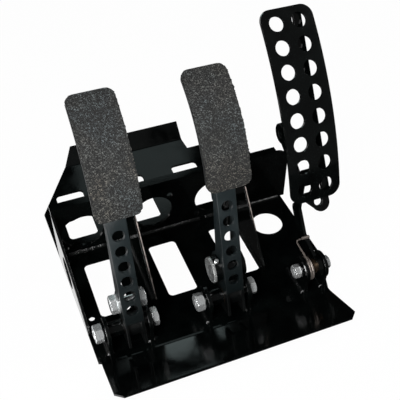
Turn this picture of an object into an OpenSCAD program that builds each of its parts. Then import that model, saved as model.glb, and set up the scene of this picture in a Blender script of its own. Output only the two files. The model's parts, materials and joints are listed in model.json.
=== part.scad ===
// Pedal box with clutch, brake and throttle pedals on a folded, welded base.
// Millimetres. X runs to the right, Y towards the bulkhead, Z up from the underside of the deck.
// The origin is the middle of the four floor bolts.

/* [Sheet] */
// Thickness of the base sheet and of the plates welded to it
sheet_t = 3; // [2:0.5:4]
// Inside radius of the heel bend
heel_bend_r = 16; // [8:1:24]
// Inside radius of the flange bend
flange_bend_r = 4; // [2:0.5:8]

/* [Deck] */
// Distance from the origin to the left edge at the heel
deck_left = 139; // [139:1:150]
// Distance from the origin to the left edge at its rear end
deck_left_rear = 145; // [142:1:155]
// Distance from the origin to the right edge
deck_right = 137; // [136:1:160]
// Distance from the origin back to the rear edge
deck_rear = 138; // [124:1:150]
// Where the left edge starts to taper, behind the origin
taper_start = 82; // [70:1:95]
// Where the right edge starts to taper, in front of the origin
taper_front = 95; // [93:1:120]
// Distance from the origin to a floor bolt, sideways
floor_bolt_x = 131; // [128:1:132]
// Distance from the origin to a floor bolt, fore and aft
floor_bolt_y = 88; // [84:1:90]
// Radius of a floor bolt hole
floor_hole_r = 3.3; // [2.7:0.1:3.5]

/* [Windows] */
// Width of a front window
front_win_w = 33; // [24:1:36]
// Length of a front window
front_win_len = 78; // [50:1:84]
// Width of a rear window
rear_win_w = 34; // [24:1:36]
// Length of a rear window
rear_win_len = 80; // [50:1:90]
// Corner radius of the windows
win_r = 5; // [2:0.5:10]
// Diameter of the round hole under the throttle
deck_hole_d = 37; // [25:1:44]

/* [Heel plate] */
// Angle of the heel plate to the deck
heel_deg = 23; // [10:1:35]
// Length of the heel plate past its bend
heel_len = 56; // [40:1:80]
// Distance from the origin to the heel plate's left edge
heel_left = 136; // [125:1:139]
// Distance from the origin to the heel plate's right edge
heel_right = 121; // [110:1:135]
// Chamfer of the heel plate's corners
heel_cut = 8; // [3:1:15]

/* [Rear flange] */
// Angle of the rear flange to the deck
flange_deg = 43; // [20:1:70]
// Length of the rear flange past its bend
flange_len = 24; // [15:1:45]
// Distance from the origin to the flange's left end
flange_left = 102; // [90:1:110]
// Distance from the origin to the flange's right end
flange_right = 61; // [50:1:75]

/* [Riser] */
// Height of the riser above the ground
riser_h = 77; // [66:1:100]
// Front face of the riser, behind the origin
riser_y = 8; // [4:1:14]
// Depth of the lip folded back at the riser's top
riser_lip = 10; // [5:1:14]
// Radius of the riser's upper right corner
riser_corner_r = 15; // [8:1:30]
// Diameter of a cylinder hole
cyl_hole_d = 45; // [30:1:46]
// Height of the cylinder holes above the ground
cyl_hole_z = 34; // [32:0.5:38]
// Distance between the two bolts of a cylinder
cyl_bolt_gap = 57; // [56:0.5:62]
// Radius of a cylinder bolt hole
cyl_bolt_r = 3.5; // [3:0.1:4]

/* [Side plate and gussets] */
// Length of the left side plate in front of the riser
side_len = 116; // [90:1:125]
// Height of the left side plate's tall end
side_h = 70; // [50:1:76]
// Bow of the left side plate's sloping edge
side_bow = 6; // [2:0.5:10]
// Diameter of the left side plate's hole
side_hole_d = 36; // [20:1:38]
// Length of a gusset along the deck
gusset_len = 100; // [60:1:104]
// Length of a gusset's level top edge
gusset_top = 40; // [15:1:60]

/* [Pivots] */
// Height of the pivot axis above the ground
pivot_z = 29; // [28:0.5:34]
// Distance from the origin forward to the pivot axis
pivot_front = 128; // [127:0.5:129]
// Distance between the clutch and brake pedals
pedal_gap = 107; // [104:0.5:108]
// Distance from the origin to the clutch arm, to the left
clutch_left = 96; // [95:0.5:97]
// Radius of the pivot bolts
bolt_r = 5; // [4:0.25:5.5]
// Radial running clearance of the bushes
run_gap = 0.05; // [0.02:0.01:0.1]
// Thickness of the ears
ear_t = 4; // [3:0.5:4.5]
// Radius of the ears round the pivot
ear_r = 15; // [12:0.5:16]

/* [Pedal arms] */
// Width of a pedal arm
arm_w = 19.5; // [18:0.5:22]
// Wall of the folded arm
arm_t = 3; // [2:0.5:4]
// Distance of the arm's front face from the pivot axis
arm_front = 15; // [14:0.5:17]
// Lean of the arm towards the bulkhead
arm_lean = 16; // [14:0.5:17]
// Length of the arm from the pivot to the pad
arm_len = 128; // [122:1:128]
// Diameter of the round holes in an arm
arm_hole_d = 12; // [6:0.5:13]
// Distance between the round holes in an arm
arm_hole_step = 17; // [14:0.1:17]
// Distance of the clutch's clevis bolt from its pivot
clevis_v = 27; // [26:0.5:40]
// Distance of the balance tube from the brake's pivot
balance_v = 32.5; // [32:0.5:36]

/* [Foot pads] */
// Width of a foot pad
pad_w = 45; // [40:1:60]
// Length of a foot pad along its chord
pad_len = 115; // [90:1:125]
// Radius of a foot pad's curve
pad_r = 250; // [200:5:400]
// Thickness of a foot pad's plate
pad_t = 4; // [3:0.5:5]
// Thickness of the grip sheet
grip_t = 1.2; // [0.6:0.1:1.5]
// Corner radius of a foot pad
pad_corner = 8; // [3:0.5:15]
// Sideways offset of a foot pad from its arm
pad_shift = 5.5; // [0:0.5:8]

/* [Balance bar] */
// Outer radius of the balance tube
tube_r = 14.5; // [13:0.25:14.5]
// Bore radius of the balance tube
tube_bore_r = 11.5; // [9:0.5:12]
// Radius of the bare collar
collar_r = 17.4; // [16:0.2:18.4]
// Width of the bare collar
collar_w = 3; // [2:0.5:4]
// Radius of the balance rod
rod_r = 5; // [3:0.5:6]
// Length of the balance rod
rod_len = 38; // [32:1:38]

/* [Throttle] */
// Distance from the origin to the middle of the throttle pad
throttle_x = 114; // [112:0.5:116]
// Width of the throttle pad
throttle_w = 56; // [52:1:60]
// Length of the throttle pad along its chord
throttle_len = 195; // [190:1:205]
// Radius of the throttle pad's curve
throttle_r = 350; // [300:5:450]
// Thickness of the throttle pad
throttle_t = 3; // [2:0.5:4]
// Corner radius of the throttle pad
throttle_corner = 12; // [5:1:16]
// Diameter of the throttle pad's holes
throttle_hole_d = 15.5; // [8:0.5:18]
// Rows of holes in the throttle pad
throttle_rows = 8; // [4:1:8]
// Distance from an end of the throttle pad to its first row of holes
throttle_margin = 13.5; // [11:0.5:16]
// Distance between the columns of holes
throttle_col_gap = 24; // [20:0.5:26]
// Thickness of the throttle lever's plate
lever_w = 3.4; // [3:0.2:4.4]
// Radius of the throttle lever round the pivot
lever_boss_r = 13; // [11:0.5:14]
// Radius of the cross tube
cross_r = 8.5; // [6:0.25:9]
// Wire radius of the return spring
wire_r = 1.4; // [1:0.1:1.5]
// Middle radius of the return spring's coil
coil_r = 12; // [11:0.25:12.75]

/* [Hidden] */
$fn = 96;

black = [0.03, 0.03, 0.03];
satin = [0.16, 0.18, 0.18];
grey = [0.30, 0.30, 0.29];
zinc = [0.78, 0.80, 0.83];
bronze = [0.55, 0.45, 0.30];
steel = [0.6, 0.58, 0.55];

eps = 0.02;
weld = 0.02;
bend_steps = 8;
big = 600;
far = 40;

// Deck plan
heel_fold = 143;
flange_fold = 157;
front_cols = [-104.5, -28, 47];
rear_cols = [-108, -29, 44.5];
cyl_cols = [-110, -28, 45.5];
cyl_bolt_deg = 45;
front_win_mid = -52;
rear_win_mid = 70;
deck_hole = [101.5, -29];
deck_step = 1;
clutch_gusset_x = -61;
brake_gusset_x = 67;
side_nose = 6;
gusset_nose = 4;
gusset_sink = 1;
flange_slant = 14;
heel_front = heel_fold + (heel_bend_r + sheet_t) * sin(heel_deg) + heel_len * cos(heel_deg);

// Pivots
pivot_y = -pivot_front;
clutch_x = -clutch_left;
brake_x = clutch_x + pedal_gap;
ear_left = -26;
ear_right = 13;
hex_r = 9.8;
head_t = 7;
nut_t = 9;
washer_r = 9.9;
washer_t = 1.6;
ear_foot_front = 13;
ear_foot_back = 30;
ear_back_y = 13;
ear_back_z = 5;
ear_front_z = 6;
bush_r = 8;
boss_r = 11.5;
side_gap = 0.5;
arm_back = 12;
arm_peak = 0.8;
arm_shift = -1;
arm_foot = 18;
arm_top_back = -4;
web_low = 10;
pin_lean = 21;
clevis_lobe = 12;
tube_wall = 3;
bolt_end = 0.8;
arm_hole_low = 26;

// Foot pad, in the plane of the pedal with the pivot at the origin
pad_low = [23.5, 128.7];
pad_deg = 39;
pad_bow = pad_r - sqrt(pad_r * pad_r - pad_len * pad_len / 4);
pad_mid = [pad_low[0] + pad_len / 2 * sin(pad_deg), pad_low[1] + pad_len / 2 * cos(pad_deg)];
pad_centre = [pad_mid[0] + (pad_r - pad_bow) * cos(pad_deg), pad_mid[1] - (pad_r - pad_bow) * sin(pad_deg)];
carrier_t = 12;
carrier_w = 18;

// Balance tube
tube_left = -17;
tube_right = 14.5;
collar_play = 1.7;
lock_at = -14.5;
lock_deg = 35;
lock_r = 1.6;
lock_hex_r = 2.2;
lock_h = 3;
ball_gap = 0.05;

// Throttle pad, in the plane of the pedal with the pivot at the origin
throttle_low = [24.5, 75.5];
throttle_deg = 32.8;
throttle_half = throttle_len / 2 - 0.2;
throttle_bow = throttle_r - sqrt(throttle_r * throttle_r - throttle_len * throttle_len / 4);
throttle_mid = [throttle_low[0] + throttle_half * sin(throttle_deg), throttle_low[1] + throttle_half * cos(throttle_deg)];
throttle_centre = [throttle_mid[0] + (throttle_r - throttle_bow) * cos(throttle_deg),
  throttle_mid[1] - (throttle_r - throttle_bow) * sin(throttle_deg)];
throttle_row_step = (throttle_len - 2 * throttle_margin) / (throttle_rows - 1);
row_deg = throttle_row_step / throttle_r * 180 / PI;
lever_x = 103.2;
lever_bar = 8;
lever_neck = 5;
lever_jog = 5.6;
boss_lap = 0.8;
elbow = [25, 22];
knee = [43, 47];
cross_orbit = throttle_r - throttle_t - cross_r - weld;
cross_up = 21.9;
cross_deg = throttle_deg - asin(throttle_len / 2 / throttle_r) + cross_up / throttle_r * 180 / PI;
cross = [throttle_centre[0] - cross_orbit * cos(cross_deg), throttle_centre[1] + cross_orbit * sin(cross_deg)];
lever_top_r = 8;
rib_x = 124;
rib_w = 9;
rib_t = 4;
lug_left = 18.3;
lug_shift = -7.3;
lug_drop = 8.8;
lug_rise = 5;
lug_sink = 2.9;
lug_r = 9.4;
lug_hole_r = 4.6;
lug_hole_left = 3.4;
lug_hole_drop = 6.5;
cable_t = 4;
cable_eye = [86, 120];
cable_eye_r = 11;
cable_hole_r = 4;
cable_bar = 6.5;
cable_foot_r = 8;
thr_ear_left = 92;
thr_ear_right = 114;
thr_bolt_r = 4;
thr_hex_r = 7.6;
thr_head_t = 5.5;
thr_nut_t = 7;
thr_washer_r = 8.2;
spring_x = 96.3;
spring_turns = 2;
pin_r = 1.7;
pin_len = 8.4;
pin_out = 3.6;
leg_reach = 24;
leg_rise = 2.4;
leg_tail = 2;

// Turns a drawing in Y and Z into a plate that starts at x and runs w to the right
module slab(x, w) {
  translate([x, 0, 0]) rotate([90, 0, 90]) linear_extrude(height = w) children();
}

// Moves a drawing to the pivot axis
module at_pivot() {
  translate([pivot_y, pivot_z]) children();
}

// A straight bar with round ends, from a to b, r each side
module bar2d(a, b, r) {
  run = b - a;
  span = norm(run);
  translate(a) rotate(atan2(run[1], run[0])) translate([0, -r]) square([span, 2 * r]);
  translate(a) circle(r = r);
  translate(b) circle(r = r);
}

module round_rect(w, h, r) {
  square([w - 2 * r, h], center = true);
  square([w, h - 2 * r], center = true);
  for (sx = [-1, 1]) {
    for (sy = [-1, 1]) {
      translate([sx * (w / 2 - r), sy * (h / 2 - r)]) circle(r = r);
    }
  }
}

module tube_x(x, w, r) {
  translate([x, 0, 0]) rotate([0, 90, 0]) cylinder(r = r, h = w);
}

module pivot_hole(x, w, r) {
  translate([0, pivot_y, pivot_z]) tube_x(x, w, r);
}

// Point at distance r from the heel bend's centre, a degrees into the bend and s past its end
function heel_pt(r, a, s) = [-heel_fold - r * sin(a) - s * cos(a), sheet_t + heel_bend_r - r * cos(a) + s * sin(a)];

// The same for the flange's bend
function flange_pt(r, a, s) = [flange_fold + r * sin(a) + s * cos(a), sheet_t + flange_bend_r - r * cos(a) + s * sin(a)];

// Section of the base sheet, from the heel's front edge to the flange's end and back
module sheet_section() {
  heel_out = heel_bend_r + sheet_t;
  flange_out = flange_bend_r + sheet_t;
  steps = [0 : bend_steps];
  heel_low = [for (i = steps) heel_pt(heel_out, heel_deg * (1 - i / bend_steps), 0)];
  flange_low = [for (i = steps) flange_pt(flange_out, flange_deg * i / bend_steps, 0)];
  flange_high = [for (i = steps) flange_pt(flange_bend_r, flange_deg * (1 - i / bend_steps), 0)];
  heel_high = [for (i = steps) heel_pt(heel_bend_r, heel_deg * i / bend_steps, 0)];
  polygon(concat([heel_pt(heel_out, heel_deg, heel_len)], heel_low, flange_low,
    [flange_pt(flange_out, flange_deg, flange_len), flange_pt(flange_bend_r, flange_deg, flange_len)],
    flange_high, heel_high, [heel_pt(heel_bend_r, heel_deg, heel_len)]));
}

module deck_plan() {
  polygon([[-heel_left + heel_cut, -heel_front], [heel_right - heel_cut, -heel_front],
    [heel_right, -heel_front + heel_cut], [heel_right, -heel_fold], [deck_right, -taper_front],
    [deck_right, deck_rear], [flange_right + deck_step, deck_rear], [flange_right, flange_fold],
    [flange_right, flange_fold + far], [-flange_left + 2 * flange_slant, flange_fold + far], [-flange_left, flange_fold],
    [-deck_left_rear, taper_start], [-deck_left, -heel_fold], [-heel_left, -heel_fold - deck_step],
    [-heel_left, -heel_front + heel_cut]]);
}

module base_plate() {
  color(black) difference() {
    intersection() {
      slab(-big / 2, big) sheet_section();
      linear_extrude(height = far) deck_plan();
    }
    for (x = front_cols) {
      translate([x, front_win_mid, -eps]) linear_extrude(height = sheet_t + 2 * eps) round_rect(front_win_w, front_win_len, win_r);
    }
    for (x = rear_cols) {
      translate([x, rear_win_mid, -eps]) linear_extrude(height = sheet_t + 2 * eps) round_rect(rear_win_w, rear_win_len, win_r);
    }
    translate([deck_hole[0], deck_hole[1], -eps]) cylinder(d = deck_hole_d, h = sheet_t + 2 * eps);
    for (sx = [-1, 1]) {
      for (sy = [-1, 1]) {
        translate([sx * floor_bolt_x, sy * floor_bolt_y, -eps]) cylinder(r = floor_hole_r, h = sheet_t + 2 * eps);
      }
    }
  }
}

// Upright plate that takes the hydraulic cylinders
module riser_plate() {
  foot = sheet_t + weld;
  color(black) difference() {
    union() {
      translate([0, riser_y + sheet_t, 0]) rotate([90, 0, 0]) linear_extrude(height = sheet_t) riser_face(foot);
      translate([-deck_left, riser_y, riser_h - sheet_t])
        cube([deck_left + deck_right - riser_corner_r, riser_lip, sheet_t]);
      translate([deck_right - sheet_t, riser_y, foot])
        cube([sheet_t, riser_lip, riser_h - riser_corner_r - foot]);
    }
    for (x = cyl_cols) {
      translate([x, riser_y - eps, cyl_hole_z]) rotate([-90, 0, 0]) cylinder(d = cyl_hole_d, h = sheet_t + 2 * eps);
      for (s = [-1, 1]) {
        translate([x + s * cyl_bolt_gap / 2 * cos(cyl_bolt_deg), riser_y - eps,
          cyl_hole_z + s * cyl_bolt_gap / 2 * sin(cyl_bolt_deg)])
          rotate([-90, 0, 0]) cylinder(r = cyl_bolt_r, h = sheet_t + 2 * eps);
      }
    }
  }
}

module riser_face(foot) {
  translate([-deck_left, foot]) square([deck_left + deck_right - riser_corner_r, riser_h - foot]);
  translate([-deck_left, foot]) square([deck_left + deck_right, riser_h - riser_corner_r - foot]);
  translate([deck_right - riser_corner_r, riser_h - riser_corner_r]) circle(r = riser_corner_r);
}

module left_side_plate() {
  foot = sheet_t + weld;
  back = riser_y - weld;
  nose = side_nose;
  rise = side_h - nose;
  chord = norm([side_len, rise]);
  bow_r = (chord * chord / 4 + side_bow * side_bow) / (2 * side_bow);
  slope = atan2(rise, side_len);
  mid = [back - side_len / 2, (side_h + nose) / 2];
  hole = [back - side_len * 0.4, side_h * 0.38];
  color(black) slab(-deck_left, sheet_t) difference() {
    intersection() {
      translate([back - side_len, foot]) square([side_len, side_h - foot]);
      translate([mid[0] + (bow_r - side_bow) * sin(slope), mid[1] - (bow_r - side_bow) * cos(slope)]) circle(r = bow_r, $fn = 360);
    }
    translate(hole) circle(d = side_hole_d);
  }
}

module gusset(x) {
  foot = sheet_t + weld;
  back = riser_y - weld;
  nose = gusset_nose;
  top = riser_h - gusset_sink;
  color(black) slab(x - sheet_t / 2, sheet_t)
    polygon([[back, foot], [back - gusset_len, foot], [back - gusset_len, foot + nose],
      [back - gusset_top, top], [back, top]]);
}

module clutch_gusset() {
  gusset(clutch_gusset_x);
}

module brake_gusset() {
  gusset(brake_gusset_x);
}

module ear(x, hole_r = bolt_r) {
  foot = sheet_t + weld;
  slab(x, ear_t) difference() {
    at_pivot() {
      polygon([[-ear_foot_front, foot - pivot_z], [ear_foot_back, foot - pivot_z], [ear_back_y, ear_back_z],
        [0, ear_back_z], [-ear_foot_front, ear_front_z]]);
      circle(r = ear_r);
    }
    at_pivot() circle(r = hole_r + run_gap);
  }
}

module pedal_bracket(x) {
  color(black) {
    ear(x + ear_left - ear_t);
    ear(x + ear_right);
  }
}

module clutch_bracket() {
  pedal_bracket(clutch_x);
}

module brake_bracket() {
  pedal_bracket(brake_x);
}

module throttle_bracket() {
  color(black) {
    ear(thr_ear_left, thr_bolt_r);
    ear(thr_ear_right, thr_bolt_r);
  }
}

// Hex bolt along X with its head on the right
module hex_bolt(left, right, shank = bolt_r, corner = hex_r, head = head_t) {
  pivot_hole(left, right - left + eps, shank);
  translate([right, pivot_y, pivot_z]) rotate([0, 90, 0]) {
    cylinder(r = corner, h = head, $fn = 6);
  }
}

module hex_nut(x, shank = bolt_r, corner = hex_r, height = nut_t) {
  difference() {
    translate([x, pivot_y, pivot_z]) rotate([0, 90, 0]) cylinder(r = corner, h = height, $fn = 6);
    pivot_hole(x - eps, height + 2 * eps, shank + run_gap);
  }
}

module washer(x, shank = bolt_r, rim = washer_r) {
  difference() {
    pivot_hole(x, washer_t, rim);
    pivot_hole(x - eps, washer_t + 2 * eps, shank + run_gap);
  }
}

module pivot_bolts() {
  color(zinc) for (x = [clutch_x, brake_x]) {
    hex_bolt(x + ear_left - ear_t - washer_t - nut_t - bolt_end, x + ear_right + ear_t + washer_t + 2 * weld);
  }
}

module pivot_nuts() {
  color(zinc) for (x = [clutch_x, brake_x]) {
    hex_nut(x + ear_left - ear_t - washer_t - nut_t - 2 * weld);
  }
}

module pivot_washers() {
  color(zinc) for (x = [clutch_x, brake_x]) {
    washer(x + ear_left - ear_t - washer_t - weld);
    washer(x + ear_right + ear_t + weld);
  }
}

module spacer(left, right) {
  difference() {
    pivot_hole(left, right - left, bush_r);
    pivot_hole(left - eps, right - left + 2 * eps, bolt_r + run_gap);
  }
}

module pivot_spacers() {
  color(zinc) for (x = [clutch_x, brake_x]) {
    spacer(x + ear_left + weld, x + arm_shift - arm_w / 2 - side_gap);
    spacer(x + arm_shift + arm_w / 2 + side_gap, x + ear_right - weld);
  }
}

module throttle_bolt() {
  left = thr_ear_left - washer_t - thr_nut_t - bolt_end;
  color(zinc) hex_bolt(left, thr_ear_right + ear_t + washer_t + 2 * weld, thr_bolt_r, thr_hex_r, thr_head_t);
}

module throttle_nut() {
  color(zinc) hex_nut(thr_ear_left - washer_t - thr_nut_t - 2 * weld, thr_bolt_r, thr_hex_r, thr_nut_t);
}

module throttle_washers() {
  color(black) {
    washer(thr_ear_left - washer_t - weld, thr_bolt_r, thr_washer_r);
    washer(thr_ear_right + ear_t + weld, thr_bolt_r, thr_washer_r);
  }
}

// Close-wound coil round the throttle pivot with a leg that bears on the deck
module throttle_spring() {
  pitch = 2 * wire_r - 0.1;
  leg_deg = -48;
  leg_len = (pivot_z - sheet_t - wire_r) / sin(-leg_deg) * 0.62;
  color(steel) translate([spring_x, pivot_y, pivot_z]) {
    for (i = [0 : spring_turns - 1]) {
      translate([wire_r + i * pitch, 0, 0]) rotate([0, 90, 0]) rotate_extrude() translate([coil_r, 0]) circle(r = wire_r, $fn = 24);
    }
    translate([wire_r, 0, -coil_r]) rotate([-90, 0, 0]) cylinder(r = wire_r, h = leg_len, $fn = 24);
  }
}

// Drawing of a pedal arm's side, with the pivot at the origin
module arm_side(pin_v, lobe_r) {
  rotate(-arm_lean) {
    polygon([[-arm_front, -arm_foot], [-arm_front, arm_len], [arm_top_back, arm_len + arm_peak],
      [arm_back, 0], [arm_back / 2, -arm_foot]]);
  }
  rotate(-pin_lean) translate([0, pin_v]) circle(r = lobe_r);
}

// Drawing of the strip that carries the pad, on the back of the pad's curve
module carrier_side() {
  pad_ring(pad_r - grip_t - pad_t - carrier_t, pad_r - grip_t - pad_t - weld, -17, 5);
}

module pad_ring(r_in, r_out, low_deg, high_deg) {
  reach = 2 * pad_r;
  intersection() {
    translate(pad_centre) difference() {
      circle(r = r_out, $fn = 720);
      circle(r = r_in, $fn = 720);
    }
    translate(pad_centre) polygon([[0, 0],
      [-reach * cos(pad_deg + low_deg), reach * sin(pad_deg + low_deg)],
      [-reach * cos(pad_deg + high_deg), reach * sin(pad_deg + high_deg)]]);
  }
}

module pedal_arm(x, pin_v, lobe_r) {
  inner = arm_w - 2 * arm_t;
  color(satin) difference() {
    union() {
      difference() {
        slab(x - arm_w / 2, arm_w) at_pivot() arm_side(pin_v, lobe_r);
        slab(x - inner / 2, inner) at_pivot() rotate(-arm_lean)
          translate([arm_t - arm_front, -far]) square([2 * far, far + arm_len - arm_t]);
        slab(x - inner / 2, inner) at_pivot() rotate(-arm_lean)
          translate([-far, -far]) square([far, far + web_low]);
      }
      slab(x - carrier_w / 2, carrier_w) at_pivot() difference() {
        carrier_side();
        rotate(-arm_lean) translate([-arm_front - far, 0]) square([far, arm_len - arm_t]);
      }
      translate([0, pivot_y, pivot_z]) tube_x(x - arm_w / 2, arm_w, boss_r);
    }
    pivot_hole(x - arm_w / 2 - eps, arm_w + 2 * eps, bush_r + weld);
    translate([x, pivot_y, pivot_z]) rotate([-arm_lean, 0, 0]) for (i = [0 : 5]) {
      translate([0, -arm_front - eps, arm_hole_low + i * arm_hole_step]) rotate([-90, 0, 0]) cylinder(d = arm_hole_d, h = arm_t + 2 * eps);
    }
  }
}

module bush(x, w, shank = bolt_r) {
  difference() {
    pivot_hole(x, w, bush_r);
    pivot_hole(x - eps, w + 2 * eps, shank + run_gap);
  }
}

// Plate between two radii of the pad's curve, with the pad's rounded outline
module pad_plate(x, r_in, r_out, inset) {
  intersection() {
    slab(x - pad_w, 2 * pad_w) at_pivot() pad_ring(r_in, r_out, -30, 30);
    translate([x, pivot_y + pad_mid[0], pivot_z + pad_mid[1]]) rotate([90 - pad_deg, 0, 0]) translate([0, 0, -far])
      linear_extrude(height = 2 * far) round_rect(pad_w - 2 * inset, pad_len - 2 * inset, pad_corner);
  }
}

module foot_pad(x) {
  color(black) pad_plate(x + pad_shift, pad_r - grip_t - pad_t, pad_r - grip_t, 0);
}

module foot_grip(x) {
  color(grey) pad_plate(x + pad_shift, pad_r - grip_t + weld, pad_r, 0.6);
}

// Moves pieces along an arm to an axis at distance v from its pivot
module on_arm(x, v) {
  translate([x, pivot_y, pivot_z]) rotate([-pin_lean, 0, 0]) translate([0, 0, v]) children();
}

module clutch_arm() {
  difference() {
    pedal_arm(clutch_x + arm_shift, clevis_v, clevis_lobe);
    on_arm(clutch_x + arm_shift, clevis_v) tube_x(-arm_w, 2 * arm_w, bolt_r + run_gap);
  }
}

module clutch_bush() {
  color(bronze) bush(clutch_x + arm_shift - arm_w / 2, arm_w);
}

module clutch_pad() {
  foot_pad(clutch_x);
}

module clutch_grip() {
  foot_grip(clutch_x);
}

module clutch_clevis_bolt() {
  left = -arm_w / 2 - weld;
  right = arm_w / 2 + nut_t;
  color(zinc) on_arm(clutch_x + arm_shift, clevis_v) {
    tube_x(left - eps, right - left + eps, bolt_r);
    tube_x(left - washer_t, washer_t, washer_r);
    translate([left - washer_t - head_t, 0, 0]) rotate([0, 90, 0]) cylinder(r = hex_r, h = head_t + eps, $fn = 6);
  }
}

module clutch_clevis_nut() {
  color(zinc) on_arm(clutch_x + arm_shift, clevis_v) difference() {
    translate([arm_w / 2 + weld, 0, 0]) rotate([0, 90, 0]) cylinder(r = hex_r, h = nut_t - 1, $fn = 6);
    tube_x(0, 2 * arm_w, bolt_r + run_gap);
  }
}

module brake_arm() {
  difference() {
    pedal_arm(brake_x + arm_shift, balance_v, tube_r + tube_wall);
    on_arm(brake_x, balance_v) tube_x(-arm_w, 2 * arm_w, tube_r + weld);
  }
}

module brake_bush() {
  color(bronze) bush(brake_x + arm_shift - arm_w / 2, arm_w);
}

module brake_pad() {
  foot_pad(brake_x);
}

module brake_grip() {
  foot_grip(brake_x);
}

module balance_tube() {
  color(black) on_arm(brake_x, balance_v) difference() {
    tube_x(tube_left, tube_right - tube_left, tube_r);
    tube_x(tube_left - eps, tube_right - tube_left + 2 * eps, tube_bore_r);
    at_lock() cylinder(r = lock_r + weld, h = tube_r);
  }
}

// Frame of the lock bolt: Z points out of the tube's wall
module at_lock() {
  translate([lock_at, 0, 0]) rotate([lock_deg, 0, 0]) translate([0, 0, tube_bore_r - 1]) children();
}

module balance_lock_bolt() {
  stem = tube_r - tube_bore_r;
  color(zinc) on_arm(brake_x, balance_v) at_lock() translate([0, 0, 1]) {
    cylinder(r = lock_r, h = stem + eps, $fn = 48);
    translate([0, 0, stem]) cylinder(r = lock_hex_r, h = lock_h, $fn = 6);
  }
}

module balance_collar() {
  color(zinc) on_arm(brake_x, balance_v) difference() {
    tube_x(tube_left - collar_w - weld, collar_w, collar_r);
    tube_x(tube_left - collar_w - weld - eps, collar_w + 2 * eps, rod_r + collar_play);
  }
}

module balance_bar() {
  color(steel) on_arm(brake_x, balance_v) translate([(tube_left + tube_right) / 2, 0, 0]) {
    sphere(r = tube_bore_r - ball_gap);
    tube_x(-rod_len / 2, rod_len, rod_r);
  }
}

module throttle_ring(r_in, r_out) {
  reach = 2 * throttle_r;
  intersection() {
    translate(throttle_centre) difference() {
      circle(r = r_out, $fn = 720);
      circle(r = r_in, $fn = 720);
    }
    translate(throttle_centre) polygon([[0, 0],
      [-reach * cos(throttle_deg - 25), reach * sin(throttle_deg - 25)],
      [-reach * cos(throttle_deg + 25), reach * sin(throttle_deg + 25)]]);
  }
}

module throttle_pad() {
  color(black) difference() {
    intersection() {
      slab(throttle_x - throttle_w, 2 * throttle_w) at_pivot() throttle_ring(throttle_r - throttle_t, throttle_r);
      in_chord() translate([0, 0, -far]) linear_extrude(height = 2 * far) round_rect(throttle_w, throttle_len, throttle_corner);
    }
    translate([throttle_x, pivot_y + throttle_centre[0], pivot_z + throttle_centre[1]])
      for (i = [0 : throttle_rows - 1]) {
        rotate([180 - throttle_deg - (i - (throttle_rows - 1) / 2) * row_deg, 0, 0])
          for (s = [-1, 1]) {
            translate([s * throttle_col_gap / 2, throttle_r - far, 0]) rotate([-90, 0, 0]) cylinder(d = throttle_hole_d, h = 2 * far);
          }
      }
  }
}

// Frame on the throttle pad's chord: Y runs up the chord, Z towards the driver
module in_chord() {
  translate([throttle_x, pivot_y + throttle_mid[0], pivot_z + throttle_mid[1]]) rotate([90 - throttle_deg, 0, 0]) children();
}

// Straight bar behind the pad that ends in a lug with a hole
module throttle_rib() {
  half = throttle_len / 2 - 3;
  rib_mid = rib_x + rib_w / 2 - throttle_x;
  level = -throttle_t - throttle_bow * 0.02 - 0.2;
  color(black) in_chord() translate([rib_mid, 0, level - rib_t]) difference() {
    union() {
      translate([-rib_w / 2, -half, 0]) cube([rib_w, 2 * half, rib_t]);
      translate([lug_shift, -half, 0]) linear_extrude(height = rib_t)
        polygon([[-lug_left, lug_rise], [lug_r * 0.99, lug_rise], [lug_r * 0.99, -lug_drop],
          [-lug_r * 0.757, -lug_drop - lug_r * 0.6], [-lug_left, -lug_sink]]);
      translate([lug_shift, -half - lug_drop, 0]) cylinder(r = lug_r, h = rib_t);
    }
    translate([lug_shift - lug_hole_left, -half - lug_hole_drop, -eps]) cylinder(r = lug_hole_r, h = rib_t + 2 * eps);
  }
}

// Flat lever with a sideways set between its elbow and the pivot
module throttle_lever() {
  low_len = norm(elbow);
  low_deg = atan2(elbow[1], elbow[0]);
  color(black) difference() {
    union() {
      slab(lever_x, lever_w) at_pivot() {
        bar2d(elbow, knee, lever_bar);
        bar2d(knee, cross, lever_neck);
        translate(cross) circle(r = lever_top_r);
      }
      translate([lever_x, pivot_y + elbow[0], pivot_z + elbow[1]]) rotate([low_deg, 0, 0])
        rotate([0, 0, asin(lever_jog / low_len)]) translate([0, -low_len, -lever_bar])
          cube([lever_w, low_len, 2 * lever_bar]);
      pivot_hole(lever_x + lever_jog - boss_lap, lever_w + 2 * boss_lap, lever_boss_r);
    }
    pivot_hole(lever_x - eps, far, bush_r + weld);
  }
}

module throttle_bush() {
  left = thr_ear_left + ear_t + side_gap;
  color(bronze) bush(left, thr_ear_right - side_gap - left, thr_bolt_r);
}

module throttle_tube() {
  left = lever_x + lever_w + weld;
  color(black) translate([0, pivot_y + cross[0], pivot_z + cross[1]]) tube_x(left, rib_x - weld - left, cross_r);
}

// Plate on the left of the lever that carries the cable's eye
module throttle_cable_arm() {
  run = cable_eye - cross;
  color(black) slab(lever_x - cable_t - weld, cable_t) at_pivot() difference() {
    union() {
      translate(cross) rotate(atan2(run[1], run[0])) translate([0, -cable_bar]) square([norm(run), 2 * cable_bar]);
      translate(cross) circle(r = cable_foot_r);
      translate(cable_eye) circle(r = cable_eye_r);
    }
    translate(cable_eye) circle(r = cable_hole_r);
  }
}

// Pin on the lever that the spring's upper leg hooks on
module throttle_spring_pin() {
  low_deg = atan2(elbow[1], elbow[0]);
  high_deg = atan2(knee[1] - elbow[1], knee[0] - elbow[0]);
  mid_deg = (low_deg + high_deg) / 2;
  off = (lever_bar + pin_r + weld) / cos((high_deg - low_deg) / 2);
  color(zinc) translate([0, pivot_y + elbow[0] - off * sin(mid_deg), pivot_z + elbow[1] + off * cos(mid_deg)])
    tube_x(lever_x - pin_out, pin_len, pin_r);
}

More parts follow.
